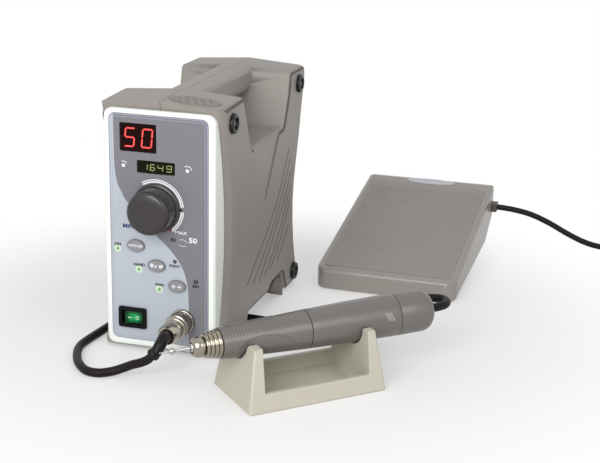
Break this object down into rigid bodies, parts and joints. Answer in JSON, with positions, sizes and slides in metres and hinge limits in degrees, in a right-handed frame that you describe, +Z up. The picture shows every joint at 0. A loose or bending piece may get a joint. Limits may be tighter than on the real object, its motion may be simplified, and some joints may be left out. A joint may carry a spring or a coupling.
{
  "type": "dental lab micromotor",
  "caption": "Bench micromotor set: upright control unit with carry handle, motor handpiece on a cradle, and a foot pedal on a cord.",
  "frame": {"origin": "on the surface it stands on, under the middle of the set's footprint without its cords", "axes": "+Z up, +Y from the control unit's front panel towards its back, +X to the right seen from the front"},
  "size_m": [0.4254, 0.4404, 0.1777],
  "materials": {
    "shell_grey": "fine moulded texture",
    "bezel_white": "satin",
    "label_print": "printed film",
    "display_window": "smoked window",
    "board_green": "solder mask",
    "lamp_green": "clear lens",
    "knob_brown": "satin",
    "aluminium": "brushed",
    "rocker_green": "lit",
    "nickel": "bright nickel plate",
    "steel": "ground",
    "iron_core": "laminated core and windings",
    "black_plastic": "satin",
    "black_rubber": "matt",
    "cord_rubber": "satin",
    "handpiece_grey": "hard coated",
    "cradle_beige": "satin",
    "mat_grey": "ribbed"
  },
  "bodies": {
    "unit": {"bezel": "bezel_white", "bumper_front_left": "black_rubber", "bumper_front_right": "black_rubber", "bumper_rear_low_left": "black_rubber", "bumper_rear_low_right": "black_rubber", "bumper_rear_top_left": "black_rubber", "bumper_rear_top_right": "black_rubber", "bur_rest": "black_rubber", "chassis_plate": "steel", "cradle": "cradle_beige", "front_board": "board_green", "front_foot": "black_rubber", "fuse_holder": "black_plastic", "label_plate": "label_print", "lamp_foot": "lamp_green", "lamp_forward": "lamp_green", "lamp_hand": "lamp_green", "lamp_on": "lamp_green", "lamp_reverse": "lamp_green", "main_display": "display_window", "mains_inlet": "black_plastic", "motor_cord": "cord_rubber", "motor_socket": "nickel", "pedal_base": "black_plastic", "pedal_cord": "cord_rubber", "pedal_cord_coil": "cord_rubber", "pedal_plug": "black_plastic", "pedal_socket": "nickel", "pedal_spring": "steel", "plug_body": "nickel", "plug_boot": "cord_rubber", "potentiometer": "steel", "power_board": "board_green", "rear_foot_left": "black_rubber", "rear_foot_right": "black_rubber", "rear_panel": "aluminium", "shell_left": "shell_grey", "shell_right": "shell_grey", "small_display": "display_window", "switch_frame": "black_plastic", "transformer": "iron_core"},
    "speed_knob": {"knob": "knob_brown", "knob_shaft": "aluminium"},
    "button_motor": {"button_motor": "bezel_white"},
    "button_mode": {"button_mode": "bezel_white"},
    "button_turn": {"button_turn": "bezel_white"},
    "mains_rocker": {"switch_rocker": "rocker_green"},
    "plug_ring": {"plug_coupling": "nickel"},
    "handpiece": {"motor_housing": "handpiece_grey", "nose_cone": "nickel", "rear_cap": "handpiece_grey", "stator": "iron_core", "front_bearing": "steel", "rear_bearing": "steel"},
    "grip": {"grip_sleeve": "handpiece_grey"},
    "spindle": {"spindle": "steel", "collet": "steel"},
    "bur": {"bur": "steel"},
    "pedal_cover": {"pedal_cover": "shell_grey", "pedal_mat": "mat_grey"}
  },
  "joints": [
    {"name": "knob_turn", "type": "hinge", "parent": "unit", "child": "speed_knob", "pos_m": [-0.06932, -0.13025, 0.105], "axis": [0, -1, 0], "range_deg": [0, 280]},
    {"name": "motor_press", "type": "slide", "parent": "unit", "child": "button_motor", "axis": [0, 1, 0], "range_m": [0, 0.0008], "stiffness_N_per_m": 900, "springref_m": -0.0006},
    {"name": "mode_press", "type": "slide", "parent": "unit", "child": "button_mode", "axis": [0, 1, 0], "range_m": [0, 0.0008], "stiffness_N_per_m": 900, "springref_m": -0.0006},
    {"name": "turn_press", "type": "slide", "parent": "unit", "child": "button_turn", "axis": [0, 1, 0], "range_m": [0, 0.0008], "stiffness_N_per_m": 900, "springref_m": -0.0006},
    {"name": "rocker_tip", "type": "hinge", "parent": "unit", "child": "mains_rocker", "pos_m": [-0.08743, -0.12475, 0.02521], "axis": [0, 0, 1], "range_deg": [-16, 0]},
    {"name": "ring_twist", "type": "hinge", "parent": "unit", "child": "plug_ring", "pos_m": [-0.05093, -0.14025, 0.0268], "axis": [0, -1, 0], "range_deg": [0, 90]},
    {"name": "handpiece_lift", "type": "slide", "parent": "unit", "child": "handpiece", "axis": [0, 0, 1], "range_m": [0, 0.03]},
    {"name": "grip_twist", "type": "hinge", "parent": "handpiece", "child": "grip", "pos_m": [0.01702, -0.17261, 0.0402], "axis": [-0.7218, -0.6921, 0], "range_deg": [0, 45]},
    {"name": "spindle_spin", "type": "hinge", "parent": "handpiece", "child": "spindle", "pos_m": [0.03868, -0.15185, 0.0402], "axis": [-0.7218, -0.6921, 0], "continuous": true},
    {"name": "bur_pull", "type": "slide", "parent": "spindle", "child": "bur", "axis": [-0.7218, -0.6921, 0], "range_m": [0, 0.026]},
    {"name": "pedal_press", "type": "hinge", "parent": "unit", "child": "pedal_cover", "pos_m": [0.05017, 0.05155, 0.0068], "axis": [1, 0, 0], "range_deg": [-2.2, 0], "stiffness_Nm_per_rad": 20, "springref_deg": 1.72, "deforming": ["pedal_spring"]}
  ]
}
